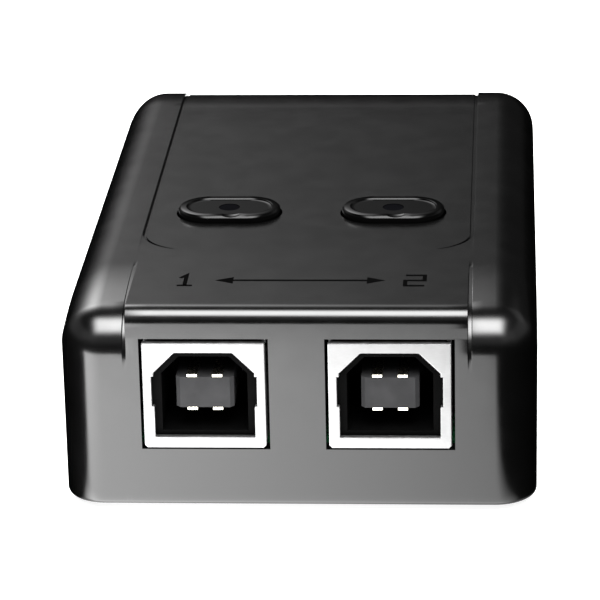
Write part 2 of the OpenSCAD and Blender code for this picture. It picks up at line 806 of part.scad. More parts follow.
module crystal_can() color("#d0d2d4") translate([crystal_at[0], crystal_at[1], board_z]) {
    pill(crystal_l, crystal_w, 0.4);
    translate([0, 0, 0.3]) pill(crystal_l - 0.8, crystal_w - 0.8, crystal_h - 0.3);
    for (s = sides)
        translate([s * crystal_lead_x, 0, solder_z - board_z])
            cylinder(h = board_z - solder_z + 0.1, r = crystal_lead_r);
}

module capacitor(at) color("#1d2a4a") translate([at[0], at[1], board_z]) {
    rotate_extrude() difference() {
        square([cap_can_r, cap_can_h]);
        translate([cap_can_r + 0.25, 1.1]) circle(0.45);
        translate([cap_can_r, cap_can_h]) corner_cut(1, 1, 0.35);
    }
    for (s = sides) translate([s, 0, solder_z - board_z]) cylinder(h = board_z - solder_z + 0.1, r = 0.22);
}

// One leadless chip: a body between two end caps
module chip_part(size, end) {
    block(size);
    for (s = sides) translate([s * (size[0] - end) / 2, 0, 0])
        block([end + 0.02, size[1] + 0.04, size[2] + 0.02]);
}

module chip_resistors() color("#26262a")
    for (p = resistors_at) translate([p[0], p[1], board_z]) chip_part([1.6, 0.8, 0.45], 0.3);

module chip_capacitors() color("#b89a6a")
    for (p = chip_caps_at) translate([p[0], p[1], board_z]) chip_part([1.6, 0.8, 0.8], 0.35);

// ---- placing ----

module at_foot(sx, sy) { translate([sx * foot_x, sy * foot_y, 0]) children(); }
module at_usb_b(s) { translate([s * usb_b_x, b_front_y, board_z]) children(); }
module at_button(s) { translate([s * button_x, button_y, 0]) children(); }
module at_tact(s) { translate([s * (button_x + tact_dx), button_y, 0]) children(); }

top_cover();
bottom_cover();
base_label();
case_screws();
main_board();
for (i = [0, 1]) {
    s = sides[i];
    side = side_names[i];
    at_foot(s, -1) foot();
    at_foot(s, 1) foot();
    at_usb_b(s) usb_b_shell();
    at_usb_b(s) usb_b_housing();
    at_usb_b(s) usb_b_contacts();
    at_button(s) button_cap();
    at_button(s) button_window();
    at_tact(s) tact_housing();
    at_tact(s) tact_lid();
    at_tact(s) tact_dome();
    at_tact(s) tact_plunger();
    at_tact(s) tact_pins();
    at_button(s) lamp();
    at_button(s) lamp_leads();
    at_button(s) lamp_spacer();
}
usb_a_shell();
usb_a_housing();
usb_a_contacts();
translate([main_chip_at[0], main_chip_at[1], 0]) chip_body(main_chip);  // main_chip_body
translate([main_chip_at[0], main_chip_at[1], 0]) chip_leads(main_chip, 14, 0.65, 0.3);  // main_chip_leads
translate([small_chip_at[0], small_chip_at[1], 0]) chip_body(small_chip);  // small_chip_body
translate([small_chip_at[0], small_chip_at[1], 0]) chip_leads(small_chip, 8, 1.27, 0.42);  // small_chip_leads
crystal_can();
capacitor(cap_cans_at[0]);  // capacitor_right
capacitor(cap_cans_at[1]);  // capacitor_left
chip_resistors();
chip_capacitors();
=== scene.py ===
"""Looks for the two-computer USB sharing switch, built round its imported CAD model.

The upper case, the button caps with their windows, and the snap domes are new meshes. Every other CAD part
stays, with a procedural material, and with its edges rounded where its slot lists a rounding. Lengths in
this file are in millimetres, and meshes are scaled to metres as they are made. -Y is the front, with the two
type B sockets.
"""
import functools
import json
import math

import bmesh
import bpy
from mathutils import Euler, Matrix, Vector

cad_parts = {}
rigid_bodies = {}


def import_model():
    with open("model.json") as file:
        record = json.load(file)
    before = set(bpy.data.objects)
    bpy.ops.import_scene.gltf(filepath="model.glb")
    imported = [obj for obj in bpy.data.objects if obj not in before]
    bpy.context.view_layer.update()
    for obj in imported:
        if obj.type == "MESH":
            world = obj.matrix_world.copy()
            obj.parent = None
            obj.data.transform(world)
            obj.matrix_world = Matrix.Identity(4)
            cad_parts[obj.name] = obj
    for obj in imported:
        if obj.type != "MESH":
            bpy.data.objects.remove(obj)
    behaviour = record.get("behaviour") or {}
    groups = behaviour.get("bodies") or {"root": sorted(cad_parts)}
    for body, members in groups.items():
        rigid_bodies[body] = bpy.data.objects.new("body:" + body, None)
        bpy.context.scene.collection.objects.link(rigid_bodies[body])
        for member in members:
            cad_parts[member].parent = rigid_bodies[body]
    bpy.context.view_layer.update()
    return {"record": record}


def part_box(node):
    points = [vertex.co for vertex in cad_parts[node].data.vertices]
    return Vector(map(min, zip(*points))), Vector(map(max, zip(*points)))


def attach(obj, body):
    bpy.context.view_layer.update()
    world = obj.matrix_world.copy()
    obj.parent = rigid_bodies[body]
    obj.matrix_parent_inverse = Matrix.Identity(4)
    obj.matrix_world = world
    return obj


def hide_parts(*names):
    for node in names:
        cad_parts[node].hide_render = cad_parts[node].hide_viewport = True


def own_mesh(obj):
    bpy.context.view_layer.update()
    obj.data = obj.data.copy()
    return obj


MM = 0.001
SAME_POINT = 0.002  # points closer together than this are joined
CRISP = 32  # edges sharper than this many degrees stay crisp

# Camera, solved from the perspective of the case
CAMERA_PLACE = (20.5, -342.5, 138.6)
CAMERA_DOWN = 20.81  # degrees below the horizon
CAMERA_LEFT = 3.76  # degrees turned to the left of straight ahead
CAMERA_ROLL = -1.25
CAMERA_LENS = 202.3  # on a 36 mm sensor

# Case
EDGE_R = 4.2  # upright corners and top edges
FRONT_SLOPE = (61.0, math.radians(9))  # slope down to the rails' front edge: radius, tilt where it ends
REAR_SLOPE = (28.0, math.radians(13))
LIP_R = 1.5  # front edge of the middle panel
LIP_GROOVE_R = 5.0  # front edge under the shadow lines beside the panel
FRONT_PATCH = 14.5  # depth of the region round the front top edge
BACK_PATCH = 10.5
PATCH_H = 6.5  # height of both regions
RIM_R = 0.5
WALL = 1.8
LIP_HALF = 16.72  # from the case's middle to the side of the middle panel
GROOVE_W = 0.36
EDGE_BREAK = 0.06  # rounding of the panel's sharp sides
RECESS_FROM_FRONT = 17.2
RECESS_DEPTH = 0.28
GROOVE_FROM_FRONT = 22.2
GROOVE_DEPTH = 0.42
GROOVE_TURN_R = 5.0
GROOVE_TURN = 72  # degrees that the groove turns through before it has run out
PORT_GAP = 0.33  # round each socket

# Inside the case
STEP_H = 1.85  # step in the bottom rim, which holds the cover
STEP_IN = 1.0
BOSS_R = 2.4
BOSS_FOOT = 4.5  # height of the bosses' lower ends
SCREW_HEAD_R = 2.1
RIBS_AT = (-9, 9, 28)  # places along the case
RIB_HALF = 0.6
RIB_START = 19.6  # from the case's middle

# Buttons
SLOT_GAP = 0.2
SLOT_FLARE = 0.12
CAP_FLANGE = 1.0
CAP_FLANGE_H = 0.9
CAP_WALL = 1.2
CAP_ROOF = 1.4
CAP_CHAMFER = 0.2
CAP_RING = 0.8  # from the cap's side to the step down into its dish
RING_RISE = 0.015  # from the ring's outer edge to its inner edge
DISH_DEPTH = 0.15
DISH_STEP = 0.17  # width of the step down
SCOOP_R = 2.5  # small hollow in the front of the cap's ring
SCOOP_DEPTH = 0.2
WINDOW_HOLE_R = 1.1
WINDOW_R = 1.08
WINDOW_FLANGE_R = 1.7
WINDOW_FLANGE_H = 0.8
WINDOW_BREAK = 0.04
DOME_SHEET = 0.1  # thickness of the snap domes in the tact switches

# Printed marks
MARK_FROM_FRONT = 8.15
MARK_X = 11.4
MARK_W = 1.9
MARK_H = 2.9
STROKE = 0.42
ARROW_HEAD = 1.8
ARROW_GAP = 2.0
INK_SUNK = 0.02
INK_RISE = 0.012

# Tongues in the type B sockets, where the insulator is painted paler as a painted highlight: how far each is
# from the case's middle, its height and half its size
TONGUE_X = 9.1
TONGUE_Z = 12.7
TONGUE_HALF_W = 2.95
TONGUE_HALF_H = 1.7

# Directions on the floor
RIGHT = (1, 0, 0)
FRONT = (0, -1, 0)
BACK = (0, 1, 0)
FRONT_RIGHT = (0.67, -0.74, 0)


def mm_box(node):
    """A CAD node's lowest and highest corners, in millimetres."""
    low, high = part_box(node)
    return low / MM, high / MM


# ---------------------------------------------------------------- mesh helpers

def new_piece(name, verts, faces, body=None, smooth_angle=35):
    """An object from points in millimetres, riding on a body if one is named."""
    mesh = bpy.data.meshes.new(name)
    mesh.from_pydata([Vector(v) * MM for v in verts], [], faces)
    mesh.validate()
    piece = bpy.data.objects.new(name, mesh)
    bpy.context.scene.collection.objects.link(piece)
    clean_mesh(piece)
    shade(piece, smooth_angle)
    if body:
        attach(piece, body)
    return piece


def clean_mesh(piece):
    """Joins points that meet and turns every face outwards."""
    work = bmesh.new()
    work.from_mesh(piece.data)
    bmesh.ops.remove_doubles(work, verts=work.verts, dist=SAME_POINT * MM)
    bmesh.ops.recalc_face_normals(work, faces=work.faces)
    work.to_mesh(piece.data)
    work.free()


def shade(piece, angle):
    """Smooth shading, with edges sharper than the angle left crisp."""
    piece.data.polygons.foreach_set("use_smooth", [True] * len(piece.data.polygons))
    piece.data.set_sharp_from_angle(angle=math.radians(angle))


def flatten_normals(piece):
    """Lets large flat faces decide the shading at their edges, so they look flat."""
    step = piece.modifiers.new("weighted_normals", "WEIGHTED_NORMAL")
    step.keep_sharp = True
    apply_modifiers(piece)


def apply_modifiers(piece):
    """Puts the result of a piece's modifiers into its mesh."""
    graph = bpy.context.evaluated_depsgraph_get()
    mesh = bpy.data.meshes.new_from_object(piece.evaluated_get(graph))
    piece.modifiers.clear()
    piece.data = mesh


def combine(piece, tools, operation):
    """Cuts tools out of a piece, or joins them to it, then drops the tools."""
    for tool in tools:
        step = piece.modifiers.new("combine", "BOOLEAN")
        step.operation = operation
        step.solver = "EXACT"
        step.object = tool
    apply_modifiers(piece)
    for tool in tools:
        bpy.data.objects.remove(tool)


def rings_to_faces(rings, count):
    """Faces that join equal rings of points in turn, with the first and last ring filled."""
    faces = []
    for r in range(rings - 1):
        for i in range(count):
            j = (i + 1) % count
            faces.append((r * count + i, r * count + j, (r + 1) * count + j, (r + 1) * count + i))
    faces.append(tuple(range(count - 1, -1, -1)))
    faces.append(tuple(range((rings - 1) * count, rings * count)))
    return faces


def box_tool(low, high):
    """A plain box between two corners."""
    ring = [(low[0], low[1]), (high[0], low[1]), (high[0], high[1]), (low[0], high[1])]
    verts = [(x, y, z) for z in (low[2], high[2]) for x, y in ring]
    return new_piece("box_tool", verts, rings_to_faces(2, 4))


def pill_ring(centre, length, width, z, arc_steps=24):
    """A ring of points round an outline with half-round ends, its long axis along X."""
    straight = (length - width) / 2
    ring = []
    for side, start in ((1, -90), (-1, 90)):
        for i in range(arc_steps + 1):
            a = math.radians(start + 180 * i / arc_steps)
            ring.append((centre[0] + side * straight + width / 2 * math.cos(a),
                         centre[1] + width / 2 * math.sin(a), z))
    return ring


def pill_stack(name, centre, length, width, profile, arc_steps=24):
    """A closed solid of pill outlines, from (inset, height) pairs up its side."""
    rings = [pill_ring(centre, length - 2 * inset, width - 2 * inset, z, arc_steps) for inset, z in profile]
    points = [point for ring in rings for point in ring]
    return new_piece(name, points, rings_to_faces(len(rings), len(rings[0])))


def lathe(name, centre, profile, steps=48):
    """A closed solid of round rings, from (radius, height) pairs up its side."""
    verts = []
    for radius, z in profile:
        for i in range(steps):
            a = 2 * math.pi * i / steps
            verts.append((centre[0] + radius * math.cos(a), centre[1] + radius * math.sin(a), z))
    return new_piece(name, verts, rings_to_faces(len(profile), steps))


def arc(centre, radius, start, end, steps):
    """Points (across, up) along an arc, from and to angles in degrees."""
    points = []
    for i in range(steps + 1):
        a = math.radians(start + (end - start) * i / steps)
        points.append((centre[0] + radius * math.cos(a), centre[1] + radius * math.sin(a)))
    return points


# ---------------------------------------------------------------- upper case

def smooth_step(t):
    """Rises smoothly from 0 to 1 as t does."""
    t = min(1.0, max(0.0, t))
    return t * t * (3 - 2 * t)


def outside_edge(u, w, inset, radius, slope):
    """Whether a point u behind the front plane and w under the top plane is outside a top edge.

    The edge is a slope on the top that turns into a round edge of the given radius; inset shrinks it all.
    """
    long_r, tilt = slope
    run = radius + (long_r - radius) * math.sin(tilt)
    drop = long_r - (long_r - radius) * math.cos(tilt)
    if u < inset or w < inset:
        return True
    forward, up = radius - u, drop - w
    if forward > 0 and up > 0 and math.atan2(forward, up) > tilt:
        return math.hypot(forward, up) > radius - inset
    return up > 0 and u < run and math.hypot(run - u, long_r - w) > long_r - inset


def reach(angle, depth, inset, radius, slope=None):
    """How far a top edge's patch goes from its middle; angle 0 is the front or back, 90 degrees the top."""
    low, high = 0.0, 1.5
    for _ in range(26):
        middle = (low + high) / 2
        u = depth * (1 - middle * math.cos(angle))
        w = PATCH_H * (1 - middle * math.sin(angle))
        if outside_edge(u, w, inset, radius, slope or (radius, 0.0)):
            high = middle
        else:
            low = middle
    return low * math.hypot(depth * math.cos(angle), PATCH_H * math.sin(angle))


def patch_angles(end):
    """Directions from the front or back to the top, closest together where an edge is tight."""
    if end > 0:
        return [math.radians(2.5 * i) for i in range(37)]
    spread = [0, 6, 11] + [14.5 + 1.8 * i for i in range(12)] + [36 + 0.6 * i for i in range(25)]
    spread += [52 + 2 * i for i in range(20)]
    return [math.radians(a) for a in spread]


class CaseShape:
    """The upper case as a row of cross-sections from left to right."""

    def __init__(self, low, high):
        self.half_w = (high.x - low.x) / 2
        self.half_d = (high.y - low.y) / 2
        self.floor = low.z
        self.top = high.z
        self.stations = self.make_stations()

    def make_stations(self):
        """Each is (x of the flat part, turn towards the side in radians, side, zone, how far down it is)."""
        corner = [(EDGE_BREAK * u, EDGE_BREAK * w) for u, w in ((1, 0), (0.5, 0.13), (0.13, 0.5), (0, 1))]
        outer = LIP_HALF + GROOVE_W
        right = [(x, 0, 1, "panel", 0.0) for x in (5.0, 10.0, 14.5)]
        right += [(LIP_HALF - u, 0, 1, "panel", w) for u, w in corner]
        right += [(x, 0, 1, "groove", 0.0) for x in (LIP_HALF + 0.02, outer - 0.02)]
        right += [(outer + u, 0, 1, "rail", w) for u, w in reversed(corner)]
        flat = self.half_w - EDGE_R
        right.append(((outer + flat) / 2, 0, 1, "rail", 0.0))
        turns = 16
        right += [(flat, math.radians(90 * i / turns), 1, "rail", 0.0) for i in range(turns + 1)]
        left = [(x, turn, -1, zone, drop) for x, turn, _, zone, drop in reversed(right)]
        return left + [(0.0, 0, 1, "panel", 0.0)] + right

    def section(self, station, wall, base):
        """One cross-section's points, from the bottom of the front, over the top, to that of the back."""
        x_flat, turn, side, zone, drop = station
        if wall:
            zone, drop = "rail", 0.0
        x = side * (x_flat + (EDGE_R - wall) * math.sin(turn))
        inset = EDGE_R - (EDGE_R - wall) * math.cos(turn)
        points = []
        patch_z = self.top - PATCH_H
        side_rows = [base + (patch_z - base) * i / 4 for i in range(4)]
        for z in side_rows:
            points.append((x, -self.half_d + inset, z))
        for angle in patch_angles(-1):
            points.append(self.patch_point(x, angle, -1, zone, drop, inset))
        first = -self.half_d + FRONT_PATCH
        last = self.half_d - BACK_PATCH
        for y in self.top_rows(first, last):
            points.append((x, y, self.top - inset - self.top_drop(y, zone, drop)))
        for angle in reversed(patch_angles(1)):
            points.append(self.patch_point(x, angle, 1, zone, drop, inset))
        for z in reversed(side_rows):
            points.append((x, self.half_d - inset, z))
        return points

    def top_rows(self, first, last):
        """Where the top has a row of points, between the two rounded edges."""
        front = -self.half_d
        rows = [first + 1.2, front + RECESS_FROM_FRONT, front + RECESS_FROM_FRONT + 2.5,
                front + GROOVE_FROM_FRONT - 0.1, front + GROOVE_FROM_FRONT]
        y = front + GROOVE_FROM_FRONT + 4
        while y < last - 2:
            rows.append(y)
            y += 4
        return rows

    def recess(self, y):
        """Depth of the shallow recess, which grows towards the back."""
        start = -self.half_d + RECESS_FROM_FRONT
        return RECESS_DEPTH * max(0.0, y - start) / (self.half_d - start)

    def top_drop(self, y, zone, drop):
        """How far the top lies under its full height."""
        grooved = y >= -self.half_d + GROOVE_FROM_FRONT - 0.01
        if zone == "groove":
            return GROOVE_DEPTH if grooved else self.recess(y)
        return (self.recess(y) if zone == "panel" else 0.0) + (drop if grooved else 0.0)

    def patch_point(self, x, angle, end, zone, drop, inset):
        """A point on the front (end -1) or back (end 1) top edge."""
        if end < 0:
            depth = FRONT_PATCH
            far = reach(angle, depth, inset, EDGE_R, FRONT_SLOPE)
            if zone != "rail" or drop:
                deep = reach(angle, depth, inset, LIP_GROOVE_R, FRONT_SLOPE)
                if zone == "panel":
                    far = reach(angle, depth, inset, LIP_R)
                if zone == "groove":
                    far = deep
                far -= drop * smooth_step((far - deep) / 0.2)
        else:
            depth = BACK_PATCH
            far = reach(angle, depth, inset, EDGE_R, REAR_SLOPE)
            lower = {"panel": self.recess(self.half_d - EDGE_R) + drop, "groove": GROOVE_DEPTH, "rail": drop}
            far -= lower[zone] * smooth_step(math.degrees(angle) / 60)
        size = math.hypot(depth * math.cos(angle), PATCH_H * math.sin(angle))
        y = end * (self.half_d - depth + far * depth * math.cos(angle) / size)
        return (x, y, self.top - PATCH_H + far * PATCH_H * math.sin(angle) / size)

    def ring(self, inset, z):
        """Points round the outline at one height, one for each cross-section's front and back."""
        front, back = [], []
        for x_flat, turn, side, _, _ in self.stations:
            x = side * (x_flat + (EDGE_R - inset) * math.sin(turn))
            y = self.half_d - EDGE_R + (EDGE_R - inset) * math.cos(turn)
            front.append((x, -y, z))
            back.append((x, y, z))
        return front + back[::-1]


def case_body(shape):
    """The whole case as one closed mesh: outside, bottom rim, the step for the bottom cover, inside."""
    verts, faces = [], []

    def add(points):
        start = len(verts)
        verts.extend(points)
        return list(range(start, start + len(points)))

    def skin(wall, base):
        """One side of the wall. Returns its bottom edge in the same order as ring()."""
        rows = [add(shape.section(s, wall, base)) for s in shape.stations]
        for a, b in zip(rows, rows[1:]):
            for i in range(len(a) - 1):
                faces.append((a[i], a[i + 1], b[i + 1], b[i]))
        faces.append(tuple(rows[0]))
        faces.append(tuple(reversed(rows[-1])))
        return [r[0] for r in rows] + [r[-1] for r in reversed(rows)]

    def band(a, b):
        for i in range(len(a)):
            j = (i + 1) % len(a)
            faces.append((a[i], a[j], b[j], b[i]))

    loops = [skin(0.0, shape.floor + RIM_R)]
    rim_steps = 6
    for i in range(1, rim_steps + 1):
        t = math.radians(90 * i / rim_steps)
        loops.append(add(shape.ring(RIM_R * (1 - math.cos(t)), shape.floor + RIM_R * (1 - math.sin(t)))))
    step_top = shape.floor + STEP_H
    loops.append(add(shape.ring(STEP_IN, shape.floor)))
    loops.append(add(shape.ring(STEP_IN, step_top)))
    loops.append(skin(WALL, step_top))
    for a, b in zip(loops, loops[1:]):
        band(a, b)
    return new_piece("upper_case", verts, faces, "housing", smooth_angle=CRISP)


def groove_turns(shape):
    """Cutters for the groove's rounded front end, which runs out to nothing."""
    tools = []
    steps = 14
    centre_y = -shape.half_d + GROOVE_FROM_FRONT
    middle_r = GROOVE_TURN_R + GROOVE_W / 2
    centre_x = LIP_HALF - GROOVE_TURN_R
    for side in (-1, 1):
        verts = []
        for i in range(steps + 1):
            a = math.radians(GROOVE_TURN * i / steps)
            fade = 1 - (i / steps) ** 1.5
            half = GROOVE_W / 2 * (0.35 + 0.65 * fade)
            depth = GROOVE_DEPTH * fade
            for r, z in ((middle_r - half, 0.3), (middle_r + half, 0.3),
                         (middle_r + half, -depth), (middle_r - half, -depth)):
                x = side * (centre_x + r * math.cos(a))
                verts.append((x, centre_y - r * math.sin(a), shape.top + z))
        tools.append(new_piece("groove_turn", verts, rings_to_faces(steps + 1, 4)))
    return tools


def case_insides(shape):
    """Screw bosses and the ribs over the board, as in the CAD model."""
    tools = []
    screws_high = mm_box("case_screws")[1]
    board_top = mm_box("main_board")[1].z
    ceiling = shape.top - WALL
    for side in (-1, 1):
        for end in (-1, 1):
            centre = (side * (screws_high.x - SCREW_HEAD_R), end * (screws_high.y - SCREW_HEAD_R))
            tools.append(lathe("boss", centre, [(BOSS_R, BOSS_FOOT), (BOSS_R, ceiling + 0.6)]))
        low_x, high_x = sorted((side * RIB_START, side * (shape.half_w - WALL + 0.5)))
        for y in RIBS_AT:
            tools.append(box_tool((low_x, y - RIB_HALF, board_top + 0.05),
                                  (high_x, y + RIB_HALF, ceiling + 0.5)))
    return tools


def port_cutters(shape):
    """Cutters for the two front sockets and the back socket."""
    tools = []
    for side in ("left", "right"):
        low, high = mm_box(f"usb_b_shell_{side}")
        foot = mm_box(f"usb_b_housing_{side}")[0].z
        tools.append(box_tool((low.x - PORT_GAP, -shape.half_d - 2, foot - PORT_GAP),
                              (high.x + PORT_GAP, -shape.half_d + WALL + 1, high.z + PORT_GAP)))
    low, high = mm_box("usb_a_shell")
    tools.append(box_tool((low.x - PORT_GAP, shape.half_d - WALL - 0.5, shape.floor - 2),
                          (high.x + PORT_GAP, shape.half_d + 2, high.z + PORT_GAP)))
    return tools


def slot_cutters(shape):
    """Cutters for the two button slots, with a flared rim."""
    profile = [(0, shape.top - WALL - 3), (0, shape.top - 0.3)]
    profile += [(u - SLOT_FLARE, shape.top - SLOT_FLARE + w)
                for u, w in arc((0, 0), SLOT_FLARE, 15, 75, 4)]
    profile += [(-SLOT_FLARE, shape.top + 0.001), (-SLOT_FLARE, shape.top + 1)]
    tools = []
    for side in ("left", "right"):
        centre, length, width = cap_size(side)
        tools.append(pill_stack("slot", centre, length + 2 * SLOT_GAP, width + 2 * SLOT_GAP, profile))
    return tools


def cap_size(side):
    """A button's middle, and the length and width of its cap without the flange."""
    low, high = mm_box(f"button_cap_{side}")
    centre = ((low.x + high.x) / 2, (low.y + high.y) / 2)
    return centre, high.x - low.x - 2 * CAP_FLANGE, high.y - low.y - 2 * CAP_FLANGE


def upper_case():
    """The upper case, for the CAD one. Returns its shape."""
    low, high = mm_box("top_cover")
    shape = CaseShape(low, high)
    body = case_body(shape)
    combine(body, case_insides(shape), "UNION")
    combine(body, port_cutters(shape) + slot_cutters(shape) + groove_turns(shape), "DIFFERENCE")
    clean_mesh(body)
    shade(body, CRISP)
    flatten_normals(body)
    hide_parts("top_cover")
    body.data.materials.clear()
    body.data.materials.append(case_plastic())
    return shape


# ---------------------------------------------------------------- buttons

def button_cap(side):
    """A cap with a dished top and a round hole for its window, for the CAD cap."""
    body = f"button_{side}"
    centre, length, width = cap_size(side)
    low, high = mm_box(f"button_cap_{side}")
    top = high.z
    ring_z = top - RING_RISE
    flange_top = low.z + CAP_FLANGE_H
    profile = [(-CAP_FLANGE, low.z), (-CAP_FLANGE, flange_top), (0, flange_top)]
    profile += [(0, ring_z - CAP_CHAMFER - 0.04), (0.02, ring_z - CAP_CHAMFER)]
    profile += [(CAP_CHAMFER, ring_z - 0.02), (CAP_CHAMFER + 0.04, ring_z), (CAP_RING - 0.03, top - 0.005)]
    profile += [(CAP_RING + DISH_STEP * t, top - DISH_DEPTH * smooth_step(t))
                for t in (0, 0.2, 0.4, 0.6, 0.8, 1)]
    profile.append((CAP_RING + 0.5, top - DISH_DEPTH))
    cap = pill_stack(f"cap_{side}", centre, length, width, profile, arc_steps=32)
    hollow = pill_stack("hollow", centre, length - 2 * CAP_WALL, width - 2 * CAP_WALL,
                        [(0, low.z - 1), (0, top - CAP_ROOF)])
    eye = lathe("eye", centre, [(WINDOW_HOLE_R, top - 2), (WINDOW_HOLE_R, top + 0.05)])
    angles = [math.radians(a) for a in (2, *range(5, 34, 4))]
    bowl = [(SCOOP_R * math.sin(a), top - SCOOP_DEPTH + SCOOP_R * (1 - math.cos(a))) for a in angles]
    scoop = lathe("scoop", (centre[0] + 0.3, centre[1] - width / 2 + 0.4), bowl)
    combine(cap, [hollow, eye, scoop], "DIFFERENCE")
    clean_mesh(cap)
    shade(cap, CRISP)
    flatten_normals(cap)
    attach(cap, body)
    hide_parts(f"button_cap_{side}")
    cap.data.materials.append(cap_plastic())


def button_window(side):
    """The flush round window in a cap, for the CAD one."""
    body = f"button_{side}"
    centre = cap_size(side)[0]
    low, high = mm_box(f"button_window_{side}")
    edge = [(WINDOW_R - WINDOW_BREAK * t, high.z - WINDOW_BREAK * (1 - t * t)) for t in (0, 0.5, 1)]
    flange_top = low.z + WINDOW_FLANGE_H
    flange = [(WINDOW_FLANGE_R, low.z), (WINDOW_FLANGE_R, flange_top), (WINDOW_R, flange_top)]
    window = lathe(f"window_{side}", centre, flange + edge)
    shade(window, CRISP)
    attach(window, body)
    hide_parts(f"button_window_{side}")
    window.data.materials.append(window_plastic())


def snap_dome(side):
    """The thin dome in a tact switch, for the CAD one."""
    node, press = f"tact_dome_{side}", f"button_{side}_press"
    low, high = mm_box(node)
    centre = ((low.x + high.x) / 2, (low.y + high.y) / 2)
    rim_r, rise = (high.x - low.x) / 2, high.z - low.z
    outer_r = (rim_r ** 2 + rise ** 2) / (2 * rise)
    inner_r = outer_r - DOME_SHEET
    outwards = (0.05, 0.2, 0.4, 0.6, 0.8, 1)
    profile = []
    for ball_r, shares in ((inner_r, outwards), (outer_r, outwards[::-1])):
        rim_angle = math.acos((outer_r - rise) / ball_r)
        profile += [(ball_r * math.sin(rim_angle * t), high.z - outer_r + ball_r * math.cos(rim_angle * t))
                    for t in shares]
    dome = lathe(f"snap_dome_{side}", centre, profile)
    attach(dome, "housing")
    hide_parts(node)
    dome.data.materials.append(can_metal())
    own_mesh(dome)


# ---------------------------------------------------------------- printed marks

def ribbon(points, width):
    """The outline of a stroke along joined straight lines, with mitred corners."""
    left, right = [], []
    for i, p in enumerate(points):
        before = (Vector(p) - Vector(points[i - 1])).normalized() if i else None
        after = (Vector(points[i + 1]) - Vector(p)).normalized() if i + 1 < len(points) else None
        before, after = before or after, after or before
        along = (before + after).normalized()
        side = Vector((-along.y, along.x)) * width / 2 / max(0.3, along.dot(after))
        left.append(tuple(Vector(p) + side))
        right.append(tuple(Vector(p) - side))
    return left + right[::-1]


def printed_marks(shape):
    """Channel numbers under the buttons, with a double arrow between them."""
    low, high = shape.top - INK_SUNK, shape.top + INK_RISE
    row_y = -shape.half_d + MARK_FROM_FRONT
    strokes = {-1: ([(0.2, 0.72), (0.5, 1), (0.5, 0)], [(0.1, 0), (0.9, 0)]),
               1: ([(0, 1), (1, 1), (1, 0.5), (0, 0.5), (0, 0), (1, 0)],)}
    outlines = []
    for side, lines in strokes.items():
        left = side * MARK_X - MARK_W / 2
        for line in lines:
            points = [(left + x * MARK_W, row_y + (y - 0.5) * MARK_H) for x, y in line]
            outlines.append(ribbon(points, STROKE))
    tip = MARK_X - MARK_W / 2 - ARROW_GAP
    neck = tip - ARROW_HEAD
    outlines.append(ribbon([(-neck, row_y), (neck, row_y)], STROKE))
    for side in (-1, 1):
        outlines.append([(side * tip, row_y), (side * neck, row_y + ARROW_HEAD / 2),
                         (side * neck, row_y - ARROW_HEAD / 2)])
    verts, faces = [], []
    for outline in outlines:
        start, n = len(verts), len(outline)
        verts += [(x, y, z) for z in (low, high) for x, y in outline]
        faces += [tuple(start + i for i in face) for face in rings_to_faces(2, n)]
    marks = new_piece("channel_marks", verts, faces, "housing", smooth_angle=20)
    marks.data.materials.append(ink())


# ---------------------------------------------------------------- materials

class Nodes:
    """A node tree, emptied, and short ways to add nodes to it."""

    def __init__(self, tree):
        self.tree = tree
        self.tree.nodes.clear()

    def link(self, output, socket):
        self.tree.links.new(output, socket)

    def node(self, kind, inputs=(), **settings):
        """Adds a node and returns its outputs. Its inputs are numbers or other nodes' outputs."""
        node = self.tree.nodes.new(kind)
        for name, setting in settings.items():
            setattr(node, name, setting)
        pairs = inputs.items() if isinstance(inputs, dict) else enumerate(inputs)
        for key, value in pairs:
            if isinstance(value, bpy.types.NodeSocket):
                self.link(value, node.inputs[key])
            else:
                node.inputs[key].default_value = value
        return node.outputs

    def math(self, operation, *values):
        return self.node("ShaderNodeMath", values, operation=operation)[0]

    def product(self, *factors):
        return functools.reduce(lambda a, b: self.math("MULTIPLY", a, b), factors)

    def along(self, place, direction):
        """How far a place or a direction goes along another direction."""
        return self.node("ShaderNodeVectorMath", (place, direction), operation="DOT_PRODUCT")["Value"]

    def seen_or_lit(self, seen, lit):
        """Shows one shader to the camera and the other to every reflection."""
        camera_ray = self.node("ShaderNodeLightPath")["Is Camera Ray"]
        return self.node("ShaderNodeMixShader", (camera_ray, lit, seen))[0]


